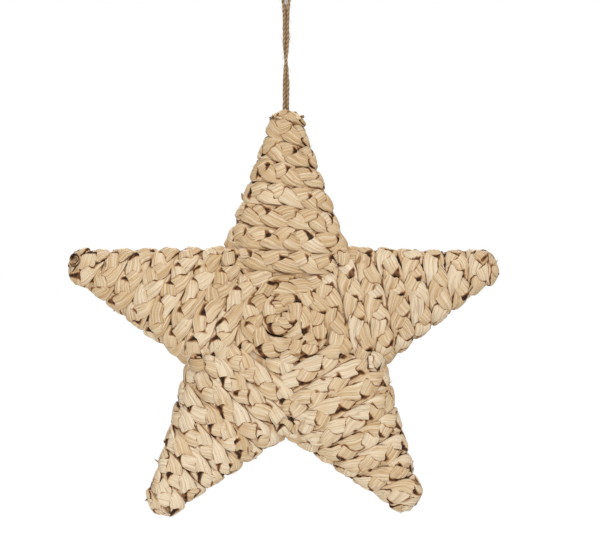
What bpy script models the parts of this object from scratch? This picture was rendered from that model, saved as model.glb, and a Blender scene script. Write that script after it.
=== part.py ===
"""Straw star: five arms wound with plaited corn husk, a coiled plait in the middle and a doubled twine.

Metres, +Z up. The star lies in the XZ plane with its front towards -Y. It hangs below the origin, which
is the inside top of the twine's loop.
"""
import math

import bmesh
import bpy
import numpy as np

# Outline of the star, seen from the front
ARM_REACH = {
    "top_arm_plait": 0.1535,
    "left_arm_plait": 0.1580,
    "lower_left_arm_plait": 0.1540,
    "lower_right_arm_plait": 0.1500,
    "right_arm_plait": 0.1540,
}
NOTCH_RADIUS = 0.0745
TIP_HALF_WIDTH = 0.0152
TIP_ROUNDING = 0.0150
TIP_FLAT_RADIUS = 0.0040

# Thickness of the star, from its middle plane to the crown of the plaits
MIDDLE_HALF_DEPTH = 0.0185
TIP_HALF_DEPTH = 0.0115
SECTION_POWER = 2.4

# The three-strand plait: rows side by side, each with two columns of slanting lobes
ROW_PITCH = 0.0150
LOBE_PITCH = 0.0170
TIP_ROW_LENGTH = 0.0215
GROOVE_DEPTH = 0.0032
GROOVE_WIDTH = 0.0012
RIDGE_SINK = 0.0013
VALLEY_SINK = 0.0021
ARM_LOBE_LEAN = 0.8
COIL_LOBE_LEAN = 0.45
RIDGE_ZIGZAG = 0.0011
LEAST_LOBES = 4
LEAST_COIL_LOBES = 6

# By how much of a lobe each row, and each arm's first row, starts later than the one before
ROW_SHIFT = 0.37
ARM_SHIFT = 0.21

# The coil that closes the middle, a little above the star's centre
COIL_RADIUS = 0.0310
COIL_RISE = 0.0070
COIL_HALF_DEPTH = 0.0205
COIL_DOME = 0.0020
COIL_FACETS = 30
EYE_RADIUS = 0.0030
EYE_RISE = 0.0070

# Doubled jute twine, and how far the top tip hangs below the origin
TWINE_DIAMETER = 0.0019
TIP_DROP = 0.1000
TWINE_STEP = 2 * TWINE_DIAMETER

# Space left between pieces that touch
GAP = 0.0003

ARM_COUNT = len(ARM_REACH)
SECTOR = 2 * math.pi / ARM_COUNT
STAR_CENTRE_Z = -TIP_DROP - ARM_REACH["top_arm_plait"]
COIL_CENTRE_Z = STAR_CENTRE_Z + COIL_RISE

# One half of the twine's route, from the top tip to the loop's top: across, front to back, up
HALF_ROUTE = [
    (-0.0012, 0.0, -TIP_DROP + GAP),
    (-0.0012, 0.0, -0.0920),
    (-0.00125, -0.0001, -0.0840),
    (-0.0011, -0.0006, -0.0770),
    (-0.0006, -0.0011, -0.0710),
    (0.0, -0.00125, -0.0650),
    (0.0007, -0.0010, -0.0590),
    (0.00115, -0.0004, -0.0530),
    (0.00125, 0.0, -0.0450),
    (0.00125, 0.0, -0.0370),
    (0.0016, 0.0, -0.0285),
    (0.0024, 0.0, -0.0205),
    (0.0034, 0.0, -0.0135),
    (0.0043, 0.0, -0.0078),
    (0.0046, 0.0, -0.0036),
    (0.0040, 0.0, -0.0013),
    (0.0023, 0.0, 0.0003),
    (0.0, 0.0, TWINE_DIAMETER / 2),
]


def clear_scene():
    """Remove whatever the open file holds."""
    for thing in list(bpy.data.objects):
        bpy.data.objects.remove(thing, do_unlink=True)


def make_material(name, colour, roughness):
    """A plain, matt surface of one colour."""
    material = bpy.data.materials.new(name)
    material.use_nodes = True
    shader = material.node_tree.nodes["Principled BSDF"]
    shader.inputs["Base Color"].default_value = (*colour, 1.0)
    shader.inputs["Roughness"].default_value = roughness
    shader.inputs["Metallic"].default_value = 0.0
    return material


class Surface:
    """Collects the points and faces of one closed body."""

    def __init__(self):
        self.points = []
        self.faces = []

    def add(self, point):
        self.points.append(tuple(float(value) for value in point))
        return len(self.points) - 1

    def ring(self, point_at, distance, turns, sink):
        """Adds one closed ring of points and returns its numbers and turns."""
        numbers = [self.add(point_at(distance, turn, sink)) for turn in turns]
        return numbers, list(turns)

    def bridge(self, first, second):
        """Joins two rings, which may have different counts, with a strip of triangles."""
        first_numbers, first_turns = first
        second_numbers, second_turns = second
        count_a = len(first_numbers)
        count_b = len(second_numbers)
        a = b = 0
        start_a = first_turns[0]
        offsets = [(turn - start_a + 0.5) % 1.0 - 0.5 for turn in second_turns]
        shift = int(np.argmin(np.abs(offsets)))
        order_b = [(shift + step) % count_b for step in range(count_b + 1)]
        turn_b = [offsets[shift] + (second_turns[k] - second_turns[shift]) % 1.0 for k in order_b[:-1]]
        turn_b.append(turn_b[0] + 1.0)
        turn_a = [turn - start_a for turn in first_turns] + [1.0]
        while a < count_a or b < count_b:
            corner_a = first_numbers[a % count_a]
            corner_b = second_numbers[order_b[b]]
            if b == count_b or (a < count_a and turn_a[a + 1] <= turn_b[b + 1]):
                self.faces.append((corner_a, first_numbers[(a + 1) % count_a], corner_b))
                a += 1
            else:
                self.faces.append((corner_a, second_numbers[order_b[b + 1]], corner_b))
                b += 1

    def close(self, ring, point):
        """Closes a ring with a fan to one point."""
        numbers = ring[0]
        middle = self.add(point)
        for index, number in enumerate(numbers):
            self.faces.append((number, numbers[(index + 1) % len(numbers)], middle))

    def plait_row(self, point_at, inner, outer, count, start, lobe_lean, outer_sink=GROOVE_DEPTH):
        """One row of plait: two columns of raised lobes that slant to a zigzag line in the middle.

        point_at gives a point from the distance across the row, the turn along it and the depth under
        the crown. The row's inner and outer edges lie in the grooves to its neighbours.
        """
        low = inner + GROOVE_WIDTH / 2
        high = outer - GROOVE_WIDTH / 2
        middle = (low + high) / 2
        inner_turns = [(index / 2 + start) / count for index in range(2 * count)]
        outer_turns = [(index / 2 + start + 0.5) / count for index in range(2 * count)]
        inner_ring = self.ring(point_at, low, inner_turns, GROOVE_DEPTH)
        outer_ring = self.ring(point_at, high, outer_turns, outer_sink)
        ridge = []
        for index in range(2 * count):
            side = RIDGE_ZIGZAG if index % 2 == 0 else -RIDGE_ZIGZAG
            turn = (index / 2 + start + lobe_lean) / count
            ridge.append(self.add(point_at(middle + side, turn, RIDGE_SINK)))
        half = 0.5 / count
        lean = lobe_lean / count
        for edge_ring, groove, first in ((inner_ring[0], low, 0), (outer_ring[0], high, 1)):
            waist = (groove + middle) / 2
            first_turn = start / count + first * half
            valleys = []
            for index in range(count):
                valleys.append(self.add(point_at(waist, first_turn + index / count + lean / 2, VALLEY_SINK)))
            for index in range(count):
                corner = 2 * index
                edge = [edge_ring[(corner + step) % (2 * count)] for step in range(3)]
                top = [ridge[(corner + first + step) % (2 * count)] for step in range(3)]
                outline = [*edge, valleys[(index + 1) % count], *reversed(top), valleys[index]]
                crown = self.add(point_at(waist, first_turn + (index + 0.5) / count + lean / 2, 0.0))
                for step in range(len(outline)):
                    self.faces.append((outline[step], outline[(step + 1) % len(outline)], crown))
        return inner_ring, outer_ring

    def make_object(self, name, material):
        """Turns the body into an object whose faces point outwards."""
        mesh = bpy.data.meshes.new(name)
        mesh.from_pydata(self.points, [], self.faces)
        body = bmesh.new()
        body.from_mesh(mesh)
        bmesh.ops.recalc_face_normals(body, faces=body.faces)
        body.to_mesh(mesh)
        body.free()
        mesh.shade_smooth()
        mesh.set_sharp_from_angle(angle=math.radians(50))
        mesh.materials.append(material)
        made = bpy.data.objects.new(name, mesh)
        bpy.context.scene.collection.objects.link(made)
        return made


def section_angles(half_width, half_depth, turns):
    """Angles on a rounded-box section that lie at even shares of its length round the outside."""
    angle = np.linspace(0.0, 2 * math.pi, 361)
    power = 2 / SECTION_POWER
    x = half_width * np.sign(np.cos(angle)) * np.abs(np.cos(angle)) ** power
    y = half_depth * np.sign(np.sin(angle)) * np.abs(np.sin(angle)) ** power
    steps = np.hypot(np.diff(x), np.diff(y))
    length = np.concatenate([[0.0], np.cumsum(steps)])
    whole = np.floor(turns)
    return np.interp(turns - whole, length / length[-1], angle), length[-1]


def arm_sizes(distance, reach):
    """Half width and half depth of an arm's crown at a distance from the star's centre."""
    waist = NOTCH_RADIUS * math.cos(SECTOR / 2)
    waist_half_width = NOTCH_RADIUS * math.sin(SECTOR / 2)
    shoulder = reach - TIP_ROUNDING
    share = (distance - waist) / (shoulder - waist)
    if distance <= shoulder:
        width = waist_half_width + share * (TIP_HALF_WIDTH - waist_half_width)
        depth = MIDDLE_HALF_DEPTH + max(share, 0.0) * (TIP_HALF_DEPTH - MIDDLE_HALF_DEPTH)
        return width, depth
    fall = min((distance - shoulder) / TIP_ROUNDING, 1.0)
    round_off = math.sqrt(1.0 - fall * fall)
    width = TIP_FLAT_RADIUS + (TIP_HALF_WIDTH - TIP_FLAT_RADIUS) * round_off
    depth = TIP_FLAT_RADIUS + (TIP_HALF_DEPTH - TIP_FLAT_RADIUS) * round_off
    return width, depth


def make_arm(name, reach, turn_start, material):
    """One arm, wound from its blunt tip inwards, as a body along +Z that is still uncut at its root."""
    body = Surface()

    def point_at(distance, turn, sink):
        """A point on the winding, whose rows climb a quarter of their pitch from one side to the other."""
        width, depth = arm_sizes(distance, reach)
        angle = float(section_angles(width, depth, turn)[0])
        across = math.copysign(abs(math.cos(angle)) ** (2 / SECTION_POWER), math.cos(angle))
        front = math.copysign(abs(math.sin(angle)) ** (2 / SECTION_POWER), math.sin(angle))
        room = (reach - distance) / TIP_ROW_LENGTH
        climb = -ROW_PITCH / 4 * across * min(max(room, 0.0), 1.0)
        width, depth = arm_sizes(distance + climb, reach)
        return (width - sink) * across, -(depth - sink) * front, distance + climb

    tip_groove = reach - TIP_ROW_LENGTH
    innermost = (COIL_RADIUS - abs(COIL_RISE)) / 2
    row_count = int((tip_groove - innermost) / ROW_PITCH) + 1
    outer = None
    for row in range(row_count, -1, -1):
        inner_edge = tip_groove - row * ROW_PITCH
        is_tip = row == 0
        outer_edge = reach + GROOVE_WIDTH / 2 if is_tip else inner_edge + ROW_PITCH
        middle = (inner_edge + min(outer_edge, reach - TIP_ROUNDING / 2)) / 2
        length = section_angles(*arm_sizes(middle, reach), 0.0)[1]
        count = max(LEAST_LOBES, round(length / LOBE_PITCH))
        end_sink = 0.0 if is_tip else GROOVE_DEPTH
        start = turn_start + ROW_SHIFT * row
        rings = body.plait_row(point_at, inner_edge, outer_edge, count, start, ARM_LOBE_LEAN, end_sink)
        if outer is None:
            body.close(rings[0], (0.0, 0.0, inner_edge + GROOVE_WIDTH / 2))
        else:
            body.bridge(outer, rings[0])
        outer = rings[1]
    body.close(outer, (0.0, 0.0, reach))
    return body.make_object(name, material)


def make_coil(material):
    """The middle: a plait coiled round its eye on the front and on the back of one round body."""
    body = Surface()
    rims = []
    for side in (-1, 1):
        def point_at(radius, turn, sink, side=side):
            """A point on the coil's face, whose inner turns sit higher than its rim."""
            share = min(radius / COIL_RADIUS, 1.0)
            depth = COIL_HALF_DEPTH - COIL_DOME * share * share - sink
            angle = 2 * math.pi * turn
            rise = EYE_RISE * (1.0 - share)
            return radius * math.cos(angle), side * depth, rise + radius * math.sin(angle)

        turns_of_plait = max(1, round((COIL_RADIUS - EYE_RADIUS) / ROW_PITCH))
        width = (COIL_RADIUS - EYE_RADIUS) / turns_of_plait
        outer = None
        for row in range(turns_of_plait):
            inner_edge = EYE_RADIUS + row * width
            outer_edge = inner_edge + width
            around = math.pi * (inner_edge + outer_edge)
            count = max(LEAST_COIL_LOBES, round(around / LOBE_PITCH))
            start = ROW_SHIFT * row
            rings = body.plait_row(point_at, inner_edge, outer_edge, count, start, COIL_LOBE_LEAN)
            if outer is None:
                eye_floor = side * (COIL_HALF_DEPTH - GROOVE_DEPTH)
                body.close(rings[0], (0.0, eye_floor, EYE_RISE))
            else:
                body.bridge(outer, rings[0])
            outer = rings[1]
        rim_turns = [index / COIL_FACETS for index in range(COIL_FACETS)]
        rim = body.ring(point_at, COIL_RADIUS, rim_turns, GROOVE_DEPTH)
        body.bridge(outer, rim)
        rims.append(rim[0])
    front, back = rims
    for index in range(COIL_FACETS):
        after = (index + 1) % COIL_FACETS
        body.faces.append((front[index], front[after], back[after], back[index]))
    coil = body.make_object("centre_coil", material)
    coil.location = (0.0, 0.0, COIL_CENTRE_Z)
    return coil


def make_prism(name, outline):
    """A guide body that cuts the arms: an outline in XZ carried right through the star's thickness."""
    through = 2 * max(MIDDLE_HALF_DEPTH, COIL_HALF_DEPTH)
    body = Surface()
    front = [body.add((x, -through, z)) for x, z in outline]
    back = [body.add((x, through, z)) for x, z in outline]
    body.faces.append(tuple(front))
    body.faces.append(tuple(reversed(back)))
    for index in range(len(outline)):
        after = (index + 1) % len(outline)
        body.faces.append((front[index], front[after], back[after], back[index]))
    guide = body.make_object(name, guide_material)
    guide.hide_render = True
    guide.display_type = "WIRE"
    return guide


def cut(piece, guide, operation):
    """Lets a guide body shape a piece."""
    modifier = piece.modifiers.new(guide.name, "BOOLEAN")
    modifier.operation = operation
    modifier.object = guide
    modifier.solver = "EXACT"


def make_arms(material):
    """Five arms, each kept to its own fifth of the star and cut away round the coil."""
    space_radius = COIL_RADIUS + GAP / math.cos(math.pi / COIL_FACETS)
    circle = []
    for index in range(COIL_FACETS):
        angle = 2 * math.pi * index / COIL_FACETS
        circle.append((space_radius * math.cos(angle), space_radius * math.sin(angle)))
    coil_space = make_prism("coil_space", circle)
    coil_space.location = (0.0, 0.0, COIL_CENTRE_Z)
    for index, (name, reach) in enumerate(ARM_REACH.items()):
        arm = make_arm(name, reach, ARM_SHIFT * index, material)
        apex = GAP / 2 / math.sin(SECTOR / 2)
        far = 2 * reach
        spread = (far - apex) * math.tan(SECTOR / 2)
        fifth = make_prism("fifth_of_" + name, [(0.0, apex), (spread, far), (-spread, far)])
        for thing in (arm, fifth):
            thing.location = (0.0, 0.0, STAR_CENTRE_Z)
            thing.rotation_euler = (0.0, -index * SECTOR, 0.0)
        cut(arm, fifth, "INTERSECT")
        cut(arm, coil_space, "DIFFERENCE")


def smooth_route(points, step):
    """Points at even steps along a smooth curve through the route's own points."""
    points = np.array(points)
    ends = np.vstack([2 * points[0] - points[1], points, 2 * points[-1] - points[-2]])
    dense = []
    for before, first, second, after in zip(ends, ends[1:], ends[2:], ends[3:]):
        share = np.linspace(0.0, 1.0, 24, endpoint=False)[:, None]
        pull = share * share * (2 * before - 5 * first + 4 * second - after)
        bend = share ** 3 * (3 * first - before - 3 * second + after)
        dense.append(0.5 * (2 * first + share * (second - before) + pull + bend))
    dense = np.vstack(dense + [points[-1:]])
    length = np.concatenate([[0.0], np.cumsum(np.linalg.norm(np.diff(dense, axis=0), axis=1))])
    count = round(length[-1] / step)
    wanted = np.linspace(0.0, length[-1], count + 1)
    return np.column_stack([np.interp(wanted, length, dense[:, axis]) for axis in range(3)])


def make_twine(material):
    """The doubled twine: up from the top tip, round the loop's top and down again, half twisted."""
    other_half = [(-x, -y, z) for x, y, z in reversed(HALF_ROUTE[:-1])]
    route = smooth_route(HALF_ROUTE + other_half, TWINE_STEP)
    curve = bpy.data.curves.new("hanging_twine", "CURVE")
    curve.dimensions = "3D"
    curve.bevel_depth = TWINE_DIAMETER / 2
    curve.bevel_resolution = 2
    curve.use_fill_caps = True
    spline = curve.splines.new("POLY")
    spline.points.add(len(route) - 1)
    for point, place in zip(spline.points, route):
        point.co = (*place, 1.0)
    curve.materials.append(material)
    twine = bpy.data.objects.new("hanging_twine", curve)
    bpy.context.scene.collection.objects.link(twine)
    return twine


clear_scene()
husk_material = make_material("plaited_husk", (0.66, 0.51, 0.32), 0.62)
twine_material = make_material("jute", (0.32, 0.21, 0.11), 0.9)
guide_material = make_material("guide", (0.5, 0.5, 0.5), 0.5)
make_arms(husk_material)
make_coil(husk_material)
make_twine(twine_material)
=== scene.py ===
import math

import bpy
import numpy as np
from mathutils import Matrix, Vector


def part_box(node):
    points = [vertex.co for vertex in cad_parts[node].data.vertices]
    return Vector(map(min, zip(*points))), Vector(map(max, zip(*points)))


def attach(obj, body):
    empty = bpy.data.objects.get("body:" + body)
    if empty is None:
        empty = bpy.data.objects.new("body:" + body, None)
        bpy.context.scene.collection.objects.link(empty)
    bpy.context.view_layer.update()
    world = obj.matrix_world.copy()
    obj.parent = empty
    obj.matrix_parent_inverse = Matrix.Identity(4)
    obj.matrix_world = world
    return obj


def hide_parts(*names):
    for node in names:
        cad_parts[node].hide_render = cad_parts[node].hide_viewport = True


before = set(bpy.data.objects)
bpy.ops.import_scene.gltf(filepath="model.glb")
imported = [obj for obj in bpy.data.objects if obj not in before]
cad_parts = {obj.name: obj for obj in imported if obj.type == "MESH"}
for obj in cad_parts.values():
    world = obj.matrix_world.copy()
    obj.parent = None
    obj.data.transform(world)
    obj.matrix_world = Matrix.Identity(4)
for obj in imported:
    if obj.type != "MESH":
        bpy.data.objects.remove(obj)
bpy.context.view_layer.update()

# The view: a long lens straight at the star's front, level with it, as in a catalogue picture. The star's
# centre lies where the photograph has it, at the scale that makes the star 0.300 m across.
PICTURE_WIDTH = 599
PICTURE_HEIGHT = 541
METRES_PER_PIXEL = 0.000694
STAR_CENTRE_PIXEL = (286.0, 332.0)
TOP_ARM_REACH = 0.1535
LENS_MM = 90.0
SENSOR_MM = 36.0

star_centre_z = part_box("top_arm_plait")[1][2] - TOP_ARM_REACH
camera_data = bpy.data.cameras.new("camera")
camera_data.lens = LENS_MM
camera_data.sensor_width = SENSOR_MM
camera_data.sensor_fit = "HORIZONTAL"
camera = bpy.data.objects.new("camera", camera_data)
camera_distance = LENS_MM / SENSOR_MM * PICTURE_WIDTH * METRES_PER_PIXEL
camera.location = (
    (PICTURE_WIDTH / 2 - STAR_CENTRE_PIXEL[0]) * METRES_PER_PIXEL,
    -camera_distance,
    star_centre_z + (STAR_CENTRE_PIXEL[1] - PICTURE_HEIGHT / 2) * METRES_PER_PIXEL,
)
camera.rotation_euler = (math.pi / 2, 0.0, 0.0)
bpy.context.scene.collection.objects.link(camera)
bpy.context.scene.camera = camera


# The hanging twine: brown jute, two plies twisted together, doubled. It leaves the top tip, goes round the
# loop's top, where it hangs on a hook, and comes back to the tip. The two runs cross once on the way.
TWINE_DIAMETER = 0.0019
TWINE_PLIES = 2
TWINE_TWIST = 0.0065
TWINE_STEP = 0.0005
TIP_DROP = 0.1000
TIP_GAP = 0.0003
FOOT_X = 0.0012
TWINE_HALF_ROUTE = [
    (-FOOT_X, 0.0, -TIP_DROP + TIP_GAP),
    (-FOOT_X, 0.0, -0.0920),
    (-0.00125, -0.0001, -0.0840),
    (-0.0011, -0.0006, -0.0770),
    (-0.0006, -0.0011, -0.0710),
    (0.0, -0.00125, -0.0650),
    (0.0007, -0.0010, -0.0590),
    (0.00115, -0.0004, -0.0530),
    (0.00125, 0.0, -0.0450),
    (0.00125, 0.0, -0.0370),
    (0.0016, 0.0, -0.0285),
    (0.0024, 0.0, -0.0205),
    (0.0034, 0.0, -0.0135),
    (0.0043, 0.0, -0.0078),
    (0.0046, 0.0, -0.0036),
    (0.0040, 0.0, -0.0013),
    (0.0023, 0.0, 0.0003),
    (0.0, 0.0, TWINE_DIAMETER / 2),
]


def arc_length(points):
    """Distance along a line of points, from 0 at its first."""
    steps = np.linalg.norm(np.diff(points, axis=0), axis=1)
    return np.concatenate([[0.0], np.cumsum(steps)])


def even_points(points, step):
    """The same line with its points at even steps, each read off by the distance along it."""
    length = arc_length(points)
    count = max(int(round(length[-1] / step)), 4)
    wanted = np.linspace(0.0, length[-1], count + 1)
    return np.column_stack([np.interp(wanted, length, points[:, axis]) for axis in range(points.shape[1])])


def smooth_line(route, step):
    """A smooth curve through a route's points: between two of them a cubic that leaves each one in the
    direction from the point before it to the point after it."""
    route = np.array(route)
    ends = np.vstack([2 * route[0] - route[1], route, 2 * route[-1] - route[-2]])
    before, first, second, after = ends[:-3, None], ends[1:-2, None], ends[2:-1, None], ends[3:, None]
    share = np.linspace(0.0, 1.0, 24, endpoint=False)[None, :, None]
    pull = share ** 2 * (2 * before - 5 * first + 4 * second - after)
    bend = share ** 3 * (3 * first - before - 3 * second + after)
    curve = 0.5 * (2 * first + share * (second - before) + pull + bend)
    return even_points(np.vstack([curve.reshape(-1, 3), route[-1:]]), step)


def unit(vectors):
    """Vectors scaled to length 1."""
    return vectors / np.maximum(np.linalg.norm(vectors, axis=-1, keepdims=True), 1e-12)


def grid_faces(rows, columns, first):
    """Quads of a grid whose columns close into a ring, counted from a first vertex."""
    row, column = np.meshgrid(np.arange(rows - 1), np.arange(columns), indexing="ij")
    after = (column + 1) % columns
    corners = [
        row * columns + column,
        row * columns + after,
        (row + 1) * columns + after,
        (row + 1) * columns + column,
    ]
    return first + np.stack(corners, axis=-1).reshape(-1, 4)


class Shell:
    """Collects ring grids with their surface values, and makes them one closed-skinned mesh."""

    def __init__(self):
        self.points, self.quads, self.caps = [], [], []
        self.values = {}
        self.count = 0

    def add(self, grid, **values):
        """Adds a grid of rings (ring, place round it, xyz) and closes both of its ends."""
        rings, around = grid.shape[:2]
        first = self.count
        ends = grid[[0, -1]].mean(axis=1)
        self.points.append(np.vstack([grid.reshape(-1, 3), ends]))
        self.quads.append(grid_faces(rings, around, first))
        place = np.arange(around)
        after = (place + 1) % around
        last = first + (rings - 1) * around
        start_hub, end_hub = first + rings * around, first + rings * around + 1
        self.caps.append(np.column_stack([first + after, first + place, np.full(around, start_hub)]))
        self.caps.append(np.column_stack([last + place, last + after, np.full(around, end_hub)]))
        for name, value in values.items():
            value = np.broadcast_to(value, (rings, around) + np.shape(value)[2:])
            hub = value[[0, -1]].mean(axis=1)
            flat = np.concatenate([value.reshape(rings * around, *value.shape[2:]), hub])
            self.values.setdefault(name, []).append(flat)
        self.count += rings * around + 2

    def make(self, name, material):
        """The finished object, with its values as point attributes and its strand map as a UV map."""
        points = np.vstack(self.points)
        quads, caps = np.vstack(self.quads), np.vstack(self.caps)
        corners = np.concatenate([quads.ravel(), caps.ravel()])
        starts = np.concatenate([np.arange(len(quads)) * 4, len(quads) * 4 + np.arange(len(caps)) * 3])
        mesh = bpy.data.meshes.new(name)
        mesh.vertices.add(len(points))
        mesh.vertices.foreach_set("co", points.astype(np.float32).ravel())
        mesh.loops.add(len(corners))
        mesh.loops.foreach_set("vertex_index", corners.astype(np.int32))
        mesh.polygons.add(len(starts))
        mesh.polygons.foreach_set("loop_start", starts.astype(np.int32))
        mesh.update(calc_edges=True)
        mesh.shade_smooth()
        for key, parts in self.values.items():
            value = np.concatenate(parts)
            if key == "strand_map":
                layer = mesh.uv_layers.new(name="strand_map")
                layer.data.foreach_set("uv", value[corners].astype(np.float32).ravel())
            else:
                layer = mesh.attributes.new(key, "FLOAT", "POINT")
                layer.data.foreach_set("value", value.astype(np.float32))
        mesh.materials.append(material)
        made = bpy.data.objects.new(name, mesh)
        bpy.context.scene.collection.objects.link(made)
        return made


class Flow:
    """A socket in a material's node tree, whose arithmetic adds the Math nodes it needs."""

    tree = None

    def __init__(self, socket):
        self.socket = socket

    @classmethod
    def node(cls, kind, settings=None, output=0, **inputs):
        """Any node by its type: settings first, a ramp's stops among them, then the sockets' values."""
        node = cls.tree.nodes.new(kind)
        for name, value in (settings or {}).items():
            if name == "stops":
                ramp = node.color_ramp
                while len(ramp.elements) < len(value):
                    ramp.elements.new(0.5)
                for stop, (position, colour) in zip(ramp.elements, value):
                    stop.position = position
                    stop.color = (*colour, 1.0)
            else:
                setattr(node, name, value)
        for name, value in inputs.items():
            key = int(name[1:]) if name[0] == "_" else name.replace("_", " ")
            if isinstance(value, Flow):
                cls.tree.links.new(value.socket, node.inputs[key])
            else:
                node.inputs[key].default_value = value
        return cls(node.outputs[output])

    @classmethod
    def math(cls, operation, first, second=0.0):
        """A Math node on two values, each a socket or a number."""
        return cls.node("ShaderNodeMath", {"operation": operation}, _0=first, _1=second)

    def __add__(self, other):
        return self.math("ADD", self, other)

    def __sub__(self, other):
        return self.math("SUBTRACT", self, other)

    def __rsub__(self, other):
        return self.math("SUBTRACT", other, self)

    def __mul__(self, other):
        return self.math("MULTIPLY", self, other)

    __radd__ = __add__
    __rmul__ = __mul__

    def between(self, low, high):
        """0 below low, 1 above high and a smooth rise between them."""
        settings = {"interpolation_type": "SMOOTHSTEP"}
        return Flow.node("ShaderNodeMapRange", settings, Value=self, From_Min=low, From_Max=high)


def blend_colour(share, first, second):
    """The first colour turned to the second by a share; each is a socket or a plain colour."""
    first, second = [value if isinstance(value, Flow) else (*value, 1.0) for value in (first, second)]
    return Flow.node("ShaderNodeMix", {"data_type": "RGBA"}, 2, _0=share, _6=first, _7=second)


def new_material(name, roughness, specular):
    """A Principled material with its even values set, and the shader that its patterns feed."""
    material = bpy.data.materials.new(name)
    material.use_nodes = True
    Flow.tree = material.node_tree
    shader = material.node_tree.nodes["Principled BSDF"]
    shader.inputs["Roughness"].default_value = roughness
    shader.inputs["Specular IOR Level"].default_value = specular
    return material, shader


def feed(shader, **inputs):
    """Links patterns to a shader's sockets."""
    for name, value in inputs.items():
        Flow.tree.links.new(value.socket, shader.inputs[name.replace("_", " ")])


def jute_material():
    """Rough brown jute: fine fibres along the twist, with shade painted dark between the plies, so the plies'
    backs are lighter.
    """
    material, shader = new_material("jute_twine", 0.85, 0.2)
    fibre_map = Flow.node("ShaderNodeUVMap", {"uv_map": "strand_map"})
    stretched = Flow.node("ShaderNodeMapping", Vector=fibre_map, Scale=(220.0, 3400.0, 1.0))
    fibres = Flow.node("ShaderNodeTexNoise", Vector=stretched, Scale=1.0, Detail=4.0, Roughness=0.65)
    # The sink value is painted shade, dark in the grooves between the plies
    groove_shade = Flow.node("ShaderNodeAttribute", {"attribute_name": "sink"}, 2)
    tone = fibres * 1.5 + groove_shade * -0.5 - 0.17
    colour = Flow.node("ShaderNodeValToRGB", {"stops": [
        (0.05, (0.07, 0.035, 0.014)),
        (0.3, (0.22, 0.125, 0.06)),
        (0.55, (0.40, 0.26, 0.145)),
        (0.85, (0.66, 0.49, 0.31)),
    ]}, Fac=tone)
    bump = Flow.node("ShaderNodeBump", Strength=0.5, Distance=0.0002, Height=fibres)
    feed(shader, Base_Color=colour, Normal=bump)
    return material


def twine_rings(line, radius):
    """A cord of twisted plies: a round profile with one bulge a ply, turned evenly as it goes along a line.
    Each ring is set square to the line. Gives the rings, how deep each point lies in the grooves between the
    plies, which sets the painted shade there, and a map of the fibres that follows the twist."""
    tangent = unit(np.gradient(line, axis=0))
    side = unit(np.cross(tangent, (0.0, 1.0, 0.0)))
    other = np.cross(tangent, side)
    length = arc_length(line)[:, None]
    angle = np.linspace(0.0, 2 * math.pi, 16, endpoint=False)[None, :]
    turned = angle - 2 * math.pi * length / TWINE_TWIST
    bulge = np.abs(np.sin(turned * TWINE_PLIES / 2)) ** 0.6
    reach = radius * (0.72 + 0.28 * bulge)
    across = (reach * np.cos(angle))[..., None]
    high = (reach * np.sin(angle))[..., None]
    offset = side[:, None] * across + other[:, None] * high
    fibre_map = np.stack(np.broadcast_arrays(length + radius * turned, radius * turned), axis=-1)
    return line[:, None] + offset, 1.0 - bulge, fibre_map


def thin_strips(shell, base, way, rise, length, width, thick, **values):
    """Thin tapered strips or hairs. Each goes straight along its way and curls towards rise as the square
    of the distance, and its oval section shrinks to nothing at the far end."""
    share = np.linspace(0.0, 1.0, 7)
    line = base[:, None] + length[:, None, None] * (
        way[:, None] * share[None, :, None] + rise[:, None] * share[None, :, None] ** 2
    )
    tangent = unit(np.gradient(line, axis=1))
    side = unit(np.cross(rise[:, None] + way[:, None] * 0.01, tangent))
    face = np.cross(tangent, side)
    taper = np.sqrt(np.clip(1.02 - share ** 3, 0.0, 1.0))[None, :, None]
    angle = np.linspace(0.0, 2 * math.pi, 6, endpoint=False)
    across = (width[:, None, None] * taper * np.cos(angle))[..., None]
    high = (thick[:, None, None] * taper * np.sin(angle))[..., None]
    rings = line[:, :, None] + side[:, :, None] * across + face[:, :, None] * high
    strip_map = np.stack(np.broadcast_arrays(share[:, None] * 0.01, angle[None, :] * 0.0005), axis=-1)
    for number, ring in enumerate(rings):
        own = {name: np.full((1, 1), value[number]) for name, value in values.items()}
        shell.add(ring, strand_map=strip_map + number * 0.013, **own)


jute = jute_material()
other_half = [(-x, -y, z) for x, y, z in reversed(TWINE_HALF_ROUTE[:-1])]
twine_route = smooth_line(TWINE_HALF_ROUTE + other_half, TWINE_STEP)
twine_shell = Shell()
rings, groove_shade, fibre_map = twine_rings(twine_route, TWINE_DIAMETER * 0.56)
# The sink value paints shade in the grooves between the plies
twine_shell.add(rings, sink=groove_shade, strand_map=fibre_map)
twine = twine_shell.make("jute_hanging_twine", jute)
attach(twine, "root")
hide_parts("hanging_twine")

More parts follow.
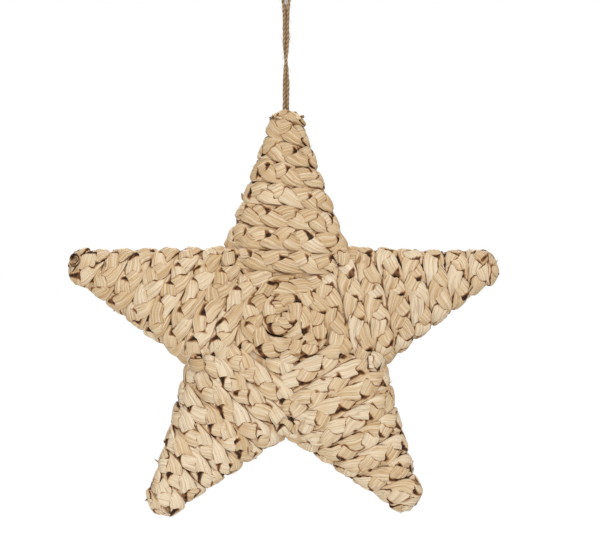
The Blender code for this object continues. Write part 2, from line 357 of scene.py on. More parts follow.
# Loose jute fibres that stand off the twine, and the twine's two feet, which run down into the plait
HAIR_COUNT = 260
HAIR_HALF_WIDTH = 0.00011
HAIR_HALF_THICKNESS = 0.00009
FOOT_HEIGHTS = (-0.0040, 0.0, 0.0006)
fibre_shell = Shell()
for foot_x in (-FOOT_X, FOOT_X):
    foot = smooth_line([(foot_x, 0.0, -TIP_DROP + height) for height in FOOT_HEIGHTS], TWINE_STEP)
    rings, groove_shade, fibre_map = twine_rings(foot, TWINE_DIAMETER * 0.54)
    # The sink value paints shade in the grooves between the plies
    fibre_shell.add(rings, sink=groove_shade, strand_map=fibre_map)
random = np.random.default_rng(31)
places = random.integers(8, len(twine_route) - 10, HAIR_COUNT)
along_twine = unit(np.gradient(twine_route, axis=0))[places] * random.choice([-1.0, 1.0], HAIR_COUNT)[:, None]
aside = unit(np.cross(along_twine, random.normal(size=(HAIR_COUNT, 3))))
thin_strips(
    fibre_shell,
    base=twine_route[places] + aside * TWINE_DIAMETER * 0.42,
    way=unit(along_twine + aside * random.uniform(0.0, 0.35, (HAIR_COUNT, 1))),
    rise=aside * random.uniform(-0.15, 0.30, (HAIR_COUNT, 1)),
    length=random.uniform(0.0025, 0.0060, HAIR_COUNT),
    width=np.full(HAIR_COUNT, HAIR_HALF_WIDTH),
    thick=np.full(HAIR_COUNT, HAIR_HALF_THICKNESS),
    # The sink value paints a random share of the groove shade on each hair
    sink=random.uniform(0.0, 0.5, HAIR_COUNT),
)

# Fuzz that lies in the slit between the two runs
FUZZ_COUNT = 150
FUZZ_HALF_WIDTH = 0.00020
FUZZ_HALF_THICKNESS = 0.00016
fuzz_z = random.uniform(-0.099, -0.030, FUZZ_COUNT)
run_side = random.choice([-1.0, 1.0], FUZZ_COUNT)
slant = random.uniform(-0.05, 0.05, FUZZ_COUNT)
up = np.column_stack([slant, random.uniform(-0.03, 0.03, FUZZ_COUNT), np.full(FUZZ_COUNT, 1.0)])
fuzz_x = run_side * random.uniform(0.0, 0.00045, FUZZ_COUNT)
fuzz_y = random.uniform(-0.0005, 0.0005, FUZZ_COUNT)
thin_strips(
    fibre_shell,
    base=np.column_stack([fuzz_x, fuzz_y, fuzz_z]),
    way=up,
    rise=np.column_stack([-slant, np.zeros(FUZZ_COUNT), np.zeros(FUZZ_COUNT)]) + 0.001,
    length=random.uniform(0.004, 0.010, FUZZ_COUNT),
    width=np.full(FUZZ_COUNT, FUZZ_HALF_WIDTH),
    thick=np.full(FUZZ_COUNT, FUZZ_HALF_THICKNESS),
    # The sink value paints a random share of the groove shade on each fuzz fibre, more than on the hairs
    sink=random.uniform(0.2, 0.9, FUZZ_COUNT),
)
loose_fibres = fibre_shell.make("jute_loose_fibres", jute)
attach(loose_fibres, "root")


# The arms: a flat plait of three strands of corn husk, wound round each arm from its blunt tip inwards in
# rows that touch, with a short plait over the tip and in the inner corner. The rows tuck under at the seams
# and under the middle coil. The husk is dry, ribbed along its length and softly shiny.
ARM_REACH = {
    "top_arm_plait": TOP_ARM_REACH,
    "left_arm_plait": 0.1580,
    "lower_left_arm_plait": 0.1540,
    "lower_right_arm_plait": 0.1500,
    "right_arm_plait": 0.1540,
}
NOTCH_RADIUS = 0.0745
TIP_HALF_WIDTH = 0.0152
TIP_ROUNDING = 0.0150
TIP_FLAT_RADIUS = 0.0040
MIDDLE_HALF_DEPTH = 0.0185
TIP_HALF_DEPTH = 0.0115
SECTION_POWER = 2.4
ROW_PITCH = 0.0150
TIP_ROW_LENGTH = 0.0215
CORNER_FOOT = 0.0560
TIP_PLAIT_SCALE = 0.74
CORNER_PLAIT_SCALE = 0.85
PACKED_DEPTH = 0.0037
TUCK_DEPTH = 0.0032
START_DEPTH = 0.0026
START_LENGTH = 0.070
COIL_RADIUS = 0.0310
COIL_RISE = 0.0070
SECTOR = 2 * math.pi / len(ARM_REACH)

# How much each arm's tone is raised, which makes it browner and darker, in the order of the arms
ARM_TONE_SHIFT = (0.32, 0.05, -0.20, -0.15, 0.10)

# One strand of the plait: the length in which its way repeats, how far it swings aside, rises and leans, and
# its flattened oval section
STRAND_REPEAT = 0.0520
STRAND_SWING = 0.0049
STRAND_WEAVE = 0.0009
STRAND_HALF_WIDTH = 0.0056
STRAND_HALF_THICKNESS = 0.0018
STRAND_STEP = 0.0010
STRAND_SIDES = 18
OVAL_ACROSS_POWER = 0.8
OVAL_HIGH_POWER = 0.50
OVAL_MEAN_POWER = 0.31
SHINGLE = 0.05
BED_DEPTH = 0.0007

# A row of plait: how far its edges drop on the front and how much more at the sides, and how it is pressed
# flat against its neighbours
ROW_DOME = 0.0005
SIDE_DOME = 4.2
ROW_EDGE = 0.0065
ROW_SQUEEZE = 0.0016

# Where shade is painted on the husk, in brown: near another strand, deep under the crown surface and along a
# row's edges
CONTACT_REACH = 0.0010
DEEP_SHADE_START = 0.0044
DEEP_SHADE_DEPTH = 0.0030
ROW_EDGE_SHADE = 0.36

# The largest half width of the loose strips of husk, and their half thickness
LOOSE_HALF_WIDTH = 0.0012
LOOSE_HALF_THICKNESS = 0.00012


def husk_material(name):
    """Dry husk: long ribs and folds along each strand, the folds' lines darkened as painted shade, strands of
    different tones from cream to tan, painted shade from brown to nearly black where strands touch or pass
    under one another, and a few brown flecks."""
    material, shader = new_material(name, 0.5, 0.15)
    strand = Flow.node("ShaderNodeUVMap", {"uv_map": "strand_map"})
    tone = Flow.node("ShaderNodeAttribute", {"attribute_name": "tone"}, 2)
    crease = Flow.node("ShaderNodeAttribute", {"attribute_name": "crease"}, 2)
    fine_map = Flow.node("ShaderNodeMapping", Vector=strand, Scale=(60.0, 2400.0, 1.0))
    broad_map = Flow.node("ShaderNodeMapping", Vector=strand, Scale=(30.0, 700.0, 1.0))
    fold_map = Flow.node("ShaderNodeMapping", Vector=strand, Scale=(22.0, 260.0, 1.0))
    patch_map = Flow.node("ShaderNodeMapping", Vector=strand, Scale=(120.0, 200.0, 1.0))
    fleck_map = Flow.node("ShaderNodeMapping", Vector=strand, Scale=(330.0, 1100.0, 1.0))
    fine = Flow.node("ShaderNodeTexNoise", Vector=fine_map, Scale=1.0, Detail=3.0, Roughness=0.6)
    broad = Flow.node("ShaderNodeTexNoise", Vector=broad_map, Scale=1.0, Detail=2.0, Roughness=0.5)
    fold = Flow.node("ShaderNodeTexNoise", Vector=fold_map, Scale=1.0, Detail=1.0, Roughness=0.4)
    patch = Flow.node("ShaderNodeTexNoise", Vector=patch_map, Scale=1.0, Detail=4.0, Roughness=0.6)
    fleck = Flow.node("ShaderNodeTexNoise", Vector=fleck_map, Scale=1.0, Detail=1.0, Roughness=0.5)
    streak = fine * 0.4 + broad * 0.6
    fold_line = 1.0 - Flow.math("ABSOLUTE", fold - 0.5).between(0.0, 0.028)
    warmth = (tone * 0.7 + patch * 0.6 - 0.15).between(0.0, 1.0)
    husk = blend_colour(warmth, (0.745, 0.572, 0.37), (0.56, 0.375, 0.185))
    lit = blend_colour(streak.between(0.45, 0.62) * 0.55, husk, (0.88, 0.77, 0.61))
    pale = blend_colour((1.0 - tone).between(0.55, 0.85) * 0.35, lit, (0.79, 0.68, 0.515))
    rib = blend_colour((1.0 - streak.between(0.36, 0.50)) * 0.32, pale, (0.41, 0.24, 0.10))
    # Painted shade along the thin fold lines, where the bump sinks into a groove
    fold_shaded = blend_colour(fold_line * 0.42, rib, (0.32, 0.165, 0.062))
    # Painted shade: brown near strand contacts and hollows, dark brown deeper, and nearly black in patches at
    # the deepest
    shade_brown = blend_colour(crease.between(0.02, 0.35) * 0.60, fold_shaded, (0.42, 0.20, 0.07))
    under = blend_colour(crease.between(0.16, 0.60) * 0.92, shade_brown, (0.18, 0.068, 0.018))
    black_shade_mask = crease.between(0.5, 0.92) * patch.between(0.33, 0.51)
    black = blend_colour(black_shade_mask, under, (0.022, 0.008, 0.003))
    specked = blend_colour(fleck.between(0.66, 0.76) * 0.55, black, (0.26, 0.125, 0.045))
    height = streak * 0.55 + fold_line * -0.5
    bump = Flow.node("ShaderNodeBump", Strength=0.7, Distance=0.0005, Height=height)
    feed(shader, Base_Color=specked, Roughness=patch * 0.3 + 0.38, Normal=bump)
    return material


def power_curve(angle):
    """A rounded box of half sizes 1: across and front, each the cosine or sine to a power below 1."""
    power = 2 / SECTION_POWER
    across = np.sign(np.cos(angle)) * np.abs(np.cos(angle)) ** power
    front = np.sign(np.sin(angle)) * np.abs(np.sin(angle)) ** power
    return across, front


class ArmForm:
    """An arm's crown surface, by the distance over it from the tip's middle and the angle round it."""

    def __init__(self, reach):
        waist = NOTCH_RADIUS * math.cos(SECTOR / 2)
        waist_width = NOTCH_RADIUS * math.sin(SECTOR / 2)
        shoulder = reach - TIP_ROUNDING
        flat = np.linspace(0.0004, TIP_FLAT_RADIUS, 8)
        turn = np.linspace(0.0, math.pi / 2, 40)[1:]
        straight = np.linspace(shoulder, 0.004, 200)[1:]
        share = (straight - waist) / (shoulder - waist)
        self.along = np.concatenate([np.full(8, reach), shoulder + TIP_ROUNDING * np.cos(turn), straight])
        self.width = np.concatenate([
            flat,
            TIP_FLAT_RADIUS + (TIP_HALF_WIDTH - TIP_FLAT_RADIUS) * np.sin(turn),
            waist_width + share * (TIP_HALF_WIDTH - waist_width),
        ])
        self.depth = np.concatenate([
            flat,
            TIP_FLAT_RADIUS + (TIP_HALF_DEPTH - TIP_FLAT_RADIUS) * np.sin(turn),
            MIDDLE_HALF_DEPTH + np.maximum(share, 0.0) * (TIP_HALF_DEPTH - MIDDLE_HALF_DEPTH),
        ])
        self.over = arc_length(np.column_stack([self.along, self.width]))

    def at(self, over, angle, sink=0.0):
        """Points on the arm in its own frame, across, front to back, and along from the star's centre. sink
        is how far they lie under the crown surface."""
        across, front = power_curve(angle)
        along = np.interp(over, self.over, self.along)
        width = np.interp(over, self.over, self.width) - sink
        depth = np.interp(over, self.over, self.depth) - sink
        return np.stack(np.broadcast_arrays(width * across, -depth * front, along), axis=-1)

    def over_at(self, along):
        """The distance over the surface at a distance along the arm."""
        return np.interp(along, self.along[::-1], self.over[::-1])


def waver(random, length, sizes, wave):
    """A smooth, uneven wobble along a strand: three sines of unlike wavelengths and random phases."""
    total = np.zeros_like(length)
    for factor in (1.0, 0.53, 0.29):
        phase, stretch = random.uniform(0.0, 2 * math.pi), random.uniform(0.85, 1.15)
        total += factor * np.sin(2 * math.pi * length * stretch / (wave * factor) + phase)
    return sizes * total / 1.3


def ease(value):
    """0 up to 0, 1 from 1 and a smooth rise between them."""
    value = np.clip(value, 0.0, 1.0)
    return value * value * (3 - 2 * value)


def touching(others, length, station, crosswise, height):
    """How close points come to the plait's other strands: 1 on one of them, falling to 0 at CONTACT_REACH.
    At a point's station another strand is a flattened oval that leans. The gap to it is the distance from
    the oval's middle less the part inside the oval, which is a power of the oval's equation at the point.
    Being close counts for little where the point lies on top of the other strand."""
    near = np.zeros_like(height)
    for other in others:
        swing, lift, half_width, half_thick, lean = [np.interp(station, length, part) for part in other]
        beside, above = crosswise - swing, height - lift
        beside, above = beside + above * lean, above - beside * lean
        level = np.abs(beside / half_width) ** (2 / OVAL_ACROSS_POWER)
        level = level + np.abs(above / half_thick) ** (2 / OVAL_HIGH_POWER)
        gap = np.hypot(beside, above) * (1 - np.maximum(level, 0.01) ** -OVAL_MEAN_POWER)
        on_top = ease((above / half_thick - 0.85) / 0.35)
        near = np.maximum(near, (1 - ease(gap / CONTACT_REACH)) * (1 - 0.85 * on_top))
    return near


def plait(shell, line, out, scale, hide, random):
    """Three flat strands plaited along a line on a surface whose outward direction is given.

    A strand's middle swings across the line as the sine of its phase, and rises and falls as the sine of
    twice the phase, flattened so that it stays up or down for longer. The phases lie a third of a turn
    apart, so each strand passes over one neighbour and under the other. Its section is an oval whose
    cosine and sine are raised to powers below 1, slightly narrower on top and at the plait's edges.

    The row is domed: a strand drops by the square of that first sine. It leans by SHINGLE, so that each
    row's inner edge lies on the next row, and what would lie further out than ROW_EDGE is pressed
    together, by a hyperbolic tangent, as if against the next row. hide is how much deeper each point lies,
    to tuck an end under. Each point also gets a painted shade from 0 to 1, brown that stands in for the
    shade deep under the crown surface, along the row's edges and where strands touch."""
    tangent = unit(np.gradient(line, axis=0))
    out = unit(out - tangent * np.sum(out * tangent, axis=1, keepdims=True))
    side = np.cross(tangent, out)
    length = arc_length(line)
    pace = 2 * math.pi / STRAND_REPEAT / ((scale[1:] + scale[:-1]) / 2)
    phase = random.uniform(0.0, 2 * math.pi) + np.concatenate([[0.0], np.cumsum(np.diff(length) * pace)])
    phase = phase + waver(random, length, 0.42, 0.085)
    angle = np.linspace(0.0, 2 * math.pi, STRAND_SIDES, endpoint=False)
    cosine, sine = np.cos(angle), np.sin(angle)
    oval_across = np.sign(cosine) * np.abs(cosine) ** OVAL_ACROSS_POWER
    oval_high = np.sign(sine) * np.abs(sine) ** OVAL_HIGH_POWER
    strands, tops = [], []
    for strand in range(3):
        turn = phase + 2 * math.pi * strand / 3
        top = -np.sin(2 * turn)
        top = top * (1.5 - 0.5 * top * top)
        swing = STRAND_SWING * scale * (np.sin(turn) - 0.07 * np.sin(3 * turn)) / 1.07
        swing = swing + waver(random, length, 0.0005, 0.031)
        lift = (STRAND_WEAVE * (top - 1) - STRAND_HALF_THICKNESS) * scale - hide - BED_DEPTH
        lift = lift - SHINGLE * swing + waver(random, length, 0.0003, 0.022)
        lift = lift - ROW_DOME * (1 + SIDE_DOME * (1 - np.abs(out[:, 1]))) * scale * np.sin(turn) ** 2
        turning = np.sin(turn) ** 4
        uneven = waver(random, length, 0.09, 0.035)
        half_width = STRAND_HALF_WIDTH * scale * (1 - 0.05 * top - 0.06 * turning + uneven)
        half_thick = STRAND_HALF_THICKNESS * scale * (1 + 0.06 * top + waver(random, length, 0.08, 0.024))
        lean = 0.14 * np.sin(turn) + SHINGLE + waver(random, length, 0.10, 0.027)
        strands.append((swing, lift, half_width, half_thick, lean))
        tops.append(top)
    for strand, top in enumerate(tops):
        swing, lift, half_width, half_thick, lean = strands[strand]
        middle = line + side * swing[:, None] + out * lift[:, None]
        heading = unit(np.gradient(middle, axis=0))
        wide = unit(np.cross(out + side * lean[:, None], heading))
        face = np.cross(heading, wide)
        drift = waver(random, length, 1.5, 0.05)[:, None]
        fold = 1.0 - 0.09 * np.maximum(np.cos(3 * angle + drift), 0.0) ** 4
        across = half_width[:, None] * oval_across
        high = half_thick[:, None] * fold * oval_high
        rings = middle[:, None] + wide[:, None] * across[..., None] + face[:, None] * high[..., None]
        offset = rings - line[:, None]
        crosswise = np.sum(offset * side[:, None], axis=-1)
        beyond = np.maximum(np.abs(crosswise) - ROW_EDGE * scale[:, None], 0.0)
        squeeze = ROW_SQUEEZE * scale[:, None]
        pressed = (squeeze * np.tanh(beyond / squeeze) - beyond) * np.sign(crosswise)
        rings = rings + side[:, None] * pressed[..., None]
        height = np.sum(offset * out[:, None], axis=-1)
        station = length[:, None] + np.sum(offset * tangent[:, None], axis=-1)
        # Painted shade, brown that stands in for shade: deep under the crown surface, along the row's edges
        # and near the other strands
        crease = ease((-height - DEEP_SHADE_START) / DEEP_SHADE_DEPTH)
        row_edge = ease((beyond / scale[:, None] - 0.0012) / 0.0014)
        crease = np.maximum(crease, ROW_EDGE_SHADE * row_edge * ease((-height - 0.0009) / 0.0010))
        others = strands[:strand] + strands[strand + 1:]
        crease = np.maximum(crease, touching(others, length, station, crosswise, height))
        start = random.uniform(0.0, 4.0)
        girth = angle * STRAND_HALF_WIDTH * 1.25
        strand_map = np.stack(np.broadcast_arrays(start + length[:, None], start * 0.37 + girth), axis=-1)
        tone = 0.5 + waver(random, length, 0.40, 0.11) + random.uniform(-0.12, 0.12)
        shell.add(
            rings,
            strand_map=strand_map,
            tone=np.clip(tone, 0.0, 1.0)[:, None],
            crease=crease,
            height=height,
            facing=out[:, 1:2],
        )
        # Loose strips of husk along the edges of the strand, where it lies on top
        loose = np.flatnonzero((top[6:-8] > 0.5) & (hide[6:-8] < 0.001)) + 6
        if len(loose) < 20:
            continue
        loose = random.choice(loose, len(loose) // 26, replace=False)
        sign = random.choice([-1.0, 1.0], (len(loose), 1))
        edge = half_width[loose, None] * wide[loose] * sign
        on_side = 1.0 + 0.5 * (np.abs(out[loose, 1]) < 0.6)
        thin_strips(
            shell,
            base=middle[loose] + 0.80 * edge + face[loose] * half_thick[loose, None] * 0.72,
            way=unit(heading[loose] + wide[loose] * sign * random.uniform(-0.25, 0.1, (len(loose), 1))),
            rise=face[loose] * random.uniform(-0.1, 1.0, (len(loose), 1)) ** 3 * 0.5,
            length=random.uniform(0.003, 0.009, len(loose)) / on_side,
            width=random.uniform(0.15, 1.0, len(loose)) ** 2 * LOOSE_HALF_WIDTH * on_side,
            thick=np.full(len(loose), LOOSE_HALF_THICKNESS),
            tone=random.uniform(0.3, 1.0, len(loose)),
            # Each loose strip gets a random share of painted shade
            crease=random.uniform(0.0, 0.55, len(loose)),
            height=np.zeros(len(loose)),
            facing=np.zeros(len(loose)),
        )


def runs(mask, least):
    """First and last places of each stretch where a mask holds, if it is long enough."""
    steps = np.flatnonzero(np.diff(np.concatenate([[0], mask.astype(int), [0]])))
    return [(first, last) for first, last in zip(steps[::2], steps[1::2]) if last - first >= least]


def winding(form, reach, random):
    """The plait's line round an arm: a screw on the crown surface that comes one row pitch nearer to the
    star's centre with each turn. Near the tip the rows and the strands are narrower. Gives place, outward
    direction, scale and how much it faces the front or the back."""
    over = np.linspace(0.0042, form.over_at(0.010), 1600)
    narrow = 0.60 + 0.40 * ease((over - 0.004) / 0.018)
    first_row = reach - TIP_ROW_LENGTH - ROW_PITCH / 2
    turns_per_metre = np.gradient((reach - np.interp(over, form.over, form.along)) / ROW_PITCH, over)
    on_arm = over > form.over_at(first_row)
    turns_per_metre = np.where(on_arm, turns_per_metre, 1 / (1.06 * ROW_PITCH * narrow))
    between = (turns_per_metre[1:] + turns_per_metre[:-1]) / 2
    turns = np.concatenate([[0.0], np.cumsum(between * np.diff(over))])
    turns = np.interp(form.over_at(first_row), over, turns) - turns
    angle = np.arange(math.floor(turns[-1]) * 2 * math.pi, turns[0] * 2 * math.pi, 0.01)
    across, front = power_curve(angle)
    on_front = np.mod(angle, 2 * math.pi) < math.pi
    part_turn = np.where(on_front, (1.0 - across) / 4, 0.5 + (1.0 + across) / 4)
    turn = np.floor(angle / (2 * math.pi)) + part_turn - 0.25
    inside = (turn > turns[-1]) & (turn < turns[0])
    angle, turn, front = angle[inside], turn[inside], front[inside]
    at = np.interp(-turn, -turns, over)
    around = angle * 0.5 * (TIP_HALF_WIDTH + NOTCH_RADIUS * math.sin(SECTOR / 2)) * 1.4
    at = at + waver(random, around, 0.0006, 0.075) * ease((at - 0.006) / 0.02)
    line = form.at(at, angle)
    inward = form.at(at + 0.0005, angle) - form.at(at - 0.0005, angle)
    out = unit(np.cross(np.gradient(line, axis=0), inward))
    scale = np.interp(at, over, narrow)
    table = np.column_stack([line, out, scale, np.abs(front)])
    length = arc_length(line)
    wanted = np.arange(0.0, length[-1], STRAND_STEP)
    return np.column_stack([np.interp(wanted, length, column) for column in table.T])


def turned(points, index):
    """An arm's own points turned to its place in the star, and moved to the star's centre."""
    cosine, sine = math.cos(-index * SECTOR), math.sin(-index * SECTOR)
    x, y, z = points.T
    return np.column_stack([x * cosine + z * sine, y, star_centre_z - x * sine + z * cosine])


def tucked(line, facing, index):
    """How much deeper each point of an arm's winding lies, and which points are built. On the front and the
    back it sinks within a few millimetres of a seam and of the coil, and its first START_LENGTH sinks on all
    sides. It ends a little past the seams, further past them at the sides, and under the coil's edge."""
    seam = line[:, 2] * math.sin(SECTOR / 2) - np.abs(line[:, 0]) * math.cos(SECTOR / 2)
    coil_across = COIL_RISE * math.sin(index * SECTOR)
    coil_along = COIL_RISE * math.cos(index * SECTOR)
    coil_room = np.hypot(line[:, 0] - coil_across, line[:, 2] - coil_along) - COIL_RADIUS
    tuck = np.maximum(ease((0.0015 - seam) / 0.005), 0.9 * ease((0.002 - coil_room) / 0.010))
    hide = TUCK_DEPTH * tuck * ease((facing - 0.25) / 0.35)
    hide = hide + START_DEPTH * ease(1 - np.arange(len(line)) * STRAND_STEP / START_LENGTH)
    past_seam = 0.0025 + 0.0100 * ease((0.6 - facing) / 0.4)
    return hide, (seam > -past_seam) & (coil_room > -0.0090)


def tip_line(form, reach):
    """The line of the short plait over the tip, from the front to the back, the way it faces, and how deep it
    lies: 1 mm on the tip, and 1.8 mm more on the front and the back."""
    over_tip = np.linspace(0.0115, 0.0003, 24)
    front, back = form.at(over_tip, math.pi / 2), form.at(over_tip[::-1], -math.pi / 2)
    line = even_points(np.vstack([front, back]), STRAND_STEP)
    out = np.cross((1.0, 0.0, 0.0), unit(np.gradient(line, axis=0)))
    hide = 0.0010 + 0.0018 * ease((0.0060 - line[:, 2] + reach - 0.0085) / 0.006)
    return line, out, hide


def packed_husk(shell, form, reach):
    """The husk packed under the rows: the arm's section sunk under the crown surface and kept inside the
    arm's fifth of the star. It carries painted shade, dark brown, and less of it towards the middle, where it
    shows at the seams."""
    along = np.linspace(0.012, reach - 0.004, 60)
    angle = np.linspace(0.0, 2 * math.pi, 40, endpoint=False)
    over = form.over_at(along)
    rings = form.at(over[:, None], -angle[None, :], PACKED_DEPTH)
    limit = (along * math.tan(SECTOR / 2) - 0.0006)[:, None]
    widen = 1.0 + 0.085 * ease((0.074 - along) / 0.012)[:, None]
    rings[..., 0] = np.clip(rings[..., 0] * widen, -limit, limit)
    rings[..., 2] = along[:, None]
    shell.add(
        rings,
        strand_map=np.stack(np.broadcast_arrays(along[:, None], angle[None, :] * 0.02), axis=-1),
        tone=np.full((1, 1), 0.8),
        crease=(0.9 - 0.75 * ease((0.080 - along) / 0.012))[:, None],
        height=np.full((1, 1), -PACKED_DEPTH),
        facing=np.zeros((1, 1)),
    )


def corner_line():
    """The line of the plait that fills an arm's left inner corner: from the front to the back, bulging
    towards the corner as a rounded box section does. Gives the way it faces, and how deep it lies, which
    grows towards both of its ends."""
    angle = np.linspace(0.42 * math.pi, -0.42 * math.pi, 120)
    across, front = power_curve(angle)
    outward = CORNER_FOOT + (NOTCH_RADIUS - 0.0012 - CORNER_FOOT) * across
    line = np.column_stack([
        -outward * math.sin(SECTOR / 2), -MIDDLE_HALF_DEPTH * front, outward * math.cos(SECTOR / 2),
    ])
    line = even_points(line, STRAND_STEP)
    along_seam = np.array((math.cos(SECTOR / 2), 0.0, math.sin(SECTOR / 2)))
    out = np.cross(along_seam, unit(np.gradient(line, axis=0)))
    from_centre = np.hypot(line[:, 0], line[:, 2])
    hide = 0.0012 * ease((0.0695 - from_centre) / 0.008) + 0.0034 * ease((0.0635 - from_centre) / 0.006)
    return line, out, hide


def rolled_end(shell, reach):
    """The plait's start at the left tip: a strip of browner husk rolled up with its edge to the front, with
    painted shade that rises and falls twice a turn. It is a spiral whose radius falls evenly over a turn and
    three quarters, with a thin oval section."""
    turn = np.linspace(0.0, 1.75, 60)
    radius = 0.0045 - 0.0016 * turn
    angle = 2 * math.pi * turn + 2.4
    middle = np.column_stack([
        1.2 * radius * np.cos(angle) + 0.0030,
        np.full_like(turn, -0.0068),
        reach - 0.0042 + radius * np.sin(angle),
    ])
    round_it = np.linspace(0.0, 2 * math.pi, 12, endpoint=False)
    heading = unit(np.gradient(middle, axis=0))
    face = np.cross(heading, (0.0, 1.0, 0.0))
    rings = middle[:, None] + face[:, None] * (0.00055 * np.sin(round_it))[None, :, None]
    rings[..., 1] += 0.0045 * np.cos(round_it)
    roll_map = np.stack(np.broadcast_arrays(angle[:, None] * 0.004, round_it[None, :] * 0.004), axis=-1)
    shell.add(
        rings,
        strand_map=roll_map,
        tone=np.full((1, 1), 0.9),
        crease=(0.42 + 0.34 * np.sin(2 * angle))[:, None],
        height=np.zeros((1, 1)),
        facing=np.zeros((1, 1)),
    )


husk = husk_material("corn_husk")
husk_shells = {}
for index, (name, reach) in enumerate(ARM_REACH.items()):
    random = np.random.default_rng(410 + index)
    form = ArmForm(reach)
    table = winding(form, reach, random)
    line, out, scale, facing = table[:, :3], table[:, 3:6], table[:, 6], table[:, 7]
    hide, built = tucked(line, facing, index)
    shell = Shell()
    for first, last in runs(built, 14):
        part = slice(first, last)
        plait(shell, line[part], out[part], scale[part], hide[part], random)
    line, out, hide = tip_line(form, reach)
    plait(shell, line, out, np.full(len(line), TIP_PLAIT_SCALE), hide, random)
    if name == "left_arm_plait":
        rolled_end(shell, reach)
    line, out, hide = corner_line()
    plait(shell, line, out, np.full(len(line), CORNER_PLAIT_SCALE), hide, random)
    packed_husk(shell, form, reach)
    shell.points = [turned(np.vstack(shell.points), index)]
    shell.values["tone"] = [tone + ARM_TONE_SHIFT[index] for tone in shell.values["tone"]]
    husk_shells[name] = shell


# The middle: the same plait coiled on the star's front, once round the outside and once round the eye, and
# again on the back. Its outer end comes from under the arms' rows and its inner end dives in at the eye. Its
# tone is raised more than the arms', which makes it browner and darker, and its painted shade is deeper.
COIL_HALF_DEPTH = 0.0205
COIL_DOME = 0.0020
EYE_RISE = 0.0070
COIL_TONE_SHIFT = 0.38
COIL_SHADE_GAIN = 1.7


def coil_line(face):
    """The plait's line on one face: a spiral that steps in by nearly a row a turn and ends over the eye,
    on a face domed by the square of the radius. Gives place, scale and how much deeper it lies."""
    turn = np.linspace(-0.52, 1.92, 1100)
    first_step = 0.0128 * ease((turn - 0.42) / 0.50)
    second_step = 0.0070 * ease((turn - 1.35) / 0.50)
    radius = COIL_RADIUS - 0.0078 - first_step - second_step
    angle = 2 * math.pi * turn + 0.9
    share = radius / COIL_RADIUS
    rise = EYE_RISE * (1.0 - share)
    depth = face * (COIL_HALF_DEPTH - COIL_DOME * share * share)
    line = np.column_stack([radius * np.cos(angle), depth, rise + radius * np.sin(angle)])
    scale = 1.0 - 0.14 * ease((turn - 0.5) / 0.5) - 0.08 * ease((turn - 1.3) / 0.4)
    hide = 0.0035 * ease((-0.36 - turn) / 0.10) + 0.003 * ease((turn - 1.84) / 0.08)
    length = arc_length(line)
    wanted = np.arange(0.0, length[-1], STRAND_STEP)
    table = np.column_stack([line, scale, hide])
    return np.column_stack([np.interp(wanted, length, column) for column in table.T])


coil_shell = Shell()
random = np.random.default_rng(77)
for face in (-1, 1):
    table = coil_line(face)
    out = np.tile((0.0, float(face), 0.0), (len(table), 1))
    plait(coil_shell, table[:, :3], out, table[:, 3], table[:, 4], random)

# The husk packed under the coil's two faces, a disc right through the star, painted nearly full shade, dark
# brown
around = np.linspace(0.0, 2 * math.pi, 48, endpoint=False)
bed_radius = np.array([0.4, 0.93, 0.97, 0.97, 0.93, 0.4]) * COIL_RADIUS
bed_depth = np.array([-0.0152, -0.0150, -0.0135, 0.0135, 0.0150, 0.0152])
bed_across = bed_radius[:, None] * np.cos(-around)
bed_along = bed_radius[:, None] * np.sin(-around)
bed = np.stack(np.broadcast_arrays(bed_across, bed_depth[:, None], bed_along), axis=-1)
coil_shell.add(
    bed,
    strand_map=np.stack(np.broadcast_arrays(around[None, :] * 0.02, bed_depth[:, None]), axis=-1),
    tone=np.full((1, 1), 0.8),
    crease=np.full((1, 1), 0.95),
    height=np.full((1, 1), -0.005),
    facing=np.zeros((1, 1)),
)
coil_centre = np.array((0.0, 0.0, star_centre_z + COIL_RISE))
coil_shell.points = [np.vstack(coil_shell.points) + coil_centre]
coil_shell.values["tone"] = [tone + COIL_TONE_SHIFT for tone in coil_shell.values["tone"]]
husk_shells["centre_coil"] = coil_shell


# The hollows of the whole star: shade is painted, in brown, on husk that lies deep between strands and rows,
# whichever piece they belong to, so all pieces are judged together. Then each becomes one mesh of husk, which
# stands for its solid. A hollow is a drop below the highest husk within HOLLOW_REACH cells.
HOLLOW_CELL = 0.0005
HOLLOW_REACH = 2
HOLLOW_START = 0.0016
HOLLOW_DEPTH = 0.0030


def paint_hollow_shade(shells):
    """Paints shade on the husk that lies in a hollow of the front or the back, whichever strands and rows
    make it.
    The heights over the crown surface are laid out on a grid as its cells' highest points, and each point
    is compared with the highest one in the few cells around its own."""
    points = np.vstack([shell.points[0] for shell in shells])
    height, facing, crease = [
        np.concatenate([part for shell in shells for part in shell.values[key]])
        for key in ("height", "facing", "crease")
    ]
    cell = ((points[:, (0, 2)] - points[:, (0, 2)].min(axis=0)) / HOLLOW_CELL).astype(int) + HOLLOW_REACH
    span = range(-HOLLOW_REACH, HOLLOW_REACH + 1)
    for side in (-1, 1):
        near = facing * side > 0.5
        highest = np.full(cell.max(axis=0) + 1 + HOLLOW_REACH, -1.0)
        np.maximum.at(highest, (cell[near, 0], cell[near, 1]), height[near])
        around = highest.copy()
        for step in [(x, z) for x in span for z in span if math.hypot(x, z) < HOLLOW_REACH + 0.5]:
            around = np.maximum(around, np.roll(highest, step, (0, 1)))
        drop = around[cell[near, 0], cell[near, 1]] - height[near]
        flat = ease((facing[near] * side - 0.5) / 0.3)
        crease[near] = np.maximum(crease[near], flat * ease((drop - HOLLOW_START) / HOLLOW_DEPTH))
    ends = np.cumsum([len(shell.points[0]) for shell in shells])[:-1]
    for shell, part in zip(shells, np.split(crease, ends)):
        shell.values["crease"] = [part]
        del shell.values["height"], shell.values["facing"]


paint_hollow_shade(list(husk_shells.values()))
# The coil's painted shade is made deeper by a factor
coil_painted_shades = coil_shell.values["crease"]
coil_shell.values["crease"] = [np.minimum(crease * COIL_SHADE_GAIN, 1.0) for crease in coil_painted_shades]
for name, shell in husk_shells.items():
    piece = shell.make("husk_" + name, husk)
    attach(piece, "root")
    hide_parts(name)


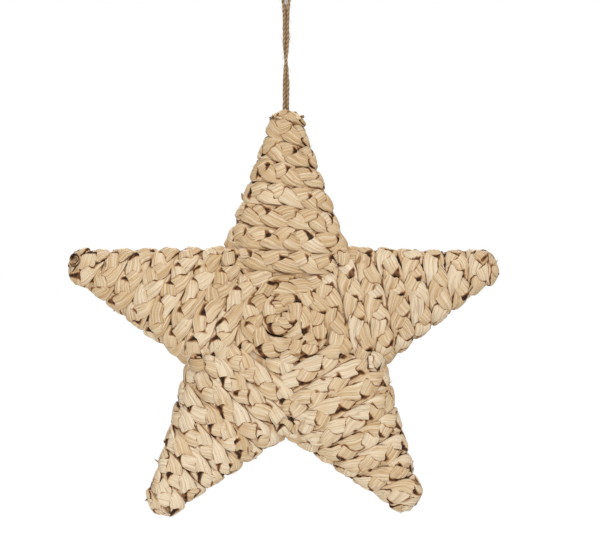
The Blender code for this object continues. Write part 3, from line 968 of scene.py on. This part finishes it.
# The studio: a plain pale floor well below that fades out at its rim, a white surround, and soft lights from
# above and from low in front, with weaker ones behind.
FLOOR_Z = -2.0
FLOOR_RADIUS = 7.0
FLOOR_FADE_START = 1.5
FLOOR_FADE_END = 6.8
rim = np.linspace(0.0, 2 * math.pi, 96, endpoint=False)
rim_x, rim_y = FLOOR_RADIUS * np.cos(rim), FLOOR_RADIUS * np.sin(rim)
rim_points = np.column_stack([rim_x, rim_y, np.full_like(rim, FLOOR_Z)])
floor_mesh = bpy.data.meshes.new("floor")
floor_mesh.from_pydata(rim_points.tolist(), [], [list(range(len(rim)))])
floor_material, floor_shader = new_material("pale_floor", 0.9, 0.1)
floor_shader.inputs["Base Color"].default_value = (0.92, 0.92, 0.91, 1.0)
floor_place = Flow.node("ShaderNodeTexCoord", output=3)
level = (1.0, 1.0, 0.0)
flat_place = Flow.node("ShaderNodeVectorMath", {"operation": "MULTIPLY"}, _0=floor_place, _1=level)
from_middle = Flow.node("ShaderNodeVectorMath", {"operation": "LENGTH"}, 1, _0=flat_place)
feed(floor_shader, Alpha=1.0 - from_middle.between(FLOOR_FADE_START, FLOOR_FADE_END))
floor_mesh.materials.append(floor_material)
floor = bpy.data.objects.new("floor", floor_mesh)
bpy.context.scene.collection.objects.link(floor)


def soft_light(name, place, size, power):
    """A square soft box aimed at the star's centre."""
    data = bpy.data.lights.new(name, "AREA")
    data.size = size
    data.energy = power
    light = bpy.data.objects.new(name, data)
    light.location = place
    aim = Vector((0.0, 0.0, star_centre_z)) - Vector(place)
    light.rotation_euler = aim.to_track_quat("-Z", "Y").to_euler()
    bpy.context.scene.collection.objects.link(light)


soft_light("key_light", (0.45, -0.8, 0.75), 0.6, 3.5)
soft_light("top_light", (-0.2, 0.0, 0.85), 0.8, 2.5)
soft_light("low_front_light", (-0.8, -0.9, -0.85), 1.2, 7.3)
soft_light("back_light", (-0.6, 1.6, 0.5), 1.2, 11.0)
for name, heading, strength in (
    ("high_front_light", (-0.5, 0.85, -0.6), 1.28),
    ("high_back_light", (0.35, -0.95, -0.65), 0.95),
):
    sun_data = bpy.data.lights.new(name, "SUN")
    sun_data.energy = strength
    sun_data.angle = math.radians(30.0)
    sun = bpy.data.objects.new(name, sun_data)
    sun.rotation_euler = Vector(heading).to_track_quat("-Z", "Y").to_euler()
    bpy.context.scene.collection.objects.link(sun)

# The surround is pure white to the camera, and dimmer as a light on the star
surround = bpy.data.worlds.new("surround")
surround.use_nodes = True
Flow.tree = surround.node_tree
sky = surround.node_tree.nodes["Background"]
seen = Flow.node("ShaderNodeLightPath")
surround.node_tree.links.new((seen * 0.6 + 0.4).socket, sky.inputs["Strength"])
sky.inputs["Color"].default_value = (1.0, 1.0, 1.0, 1.0)
bpy.context.scene.world = surround
bpy.context.scene.view_settings.view_transform = "Standard"
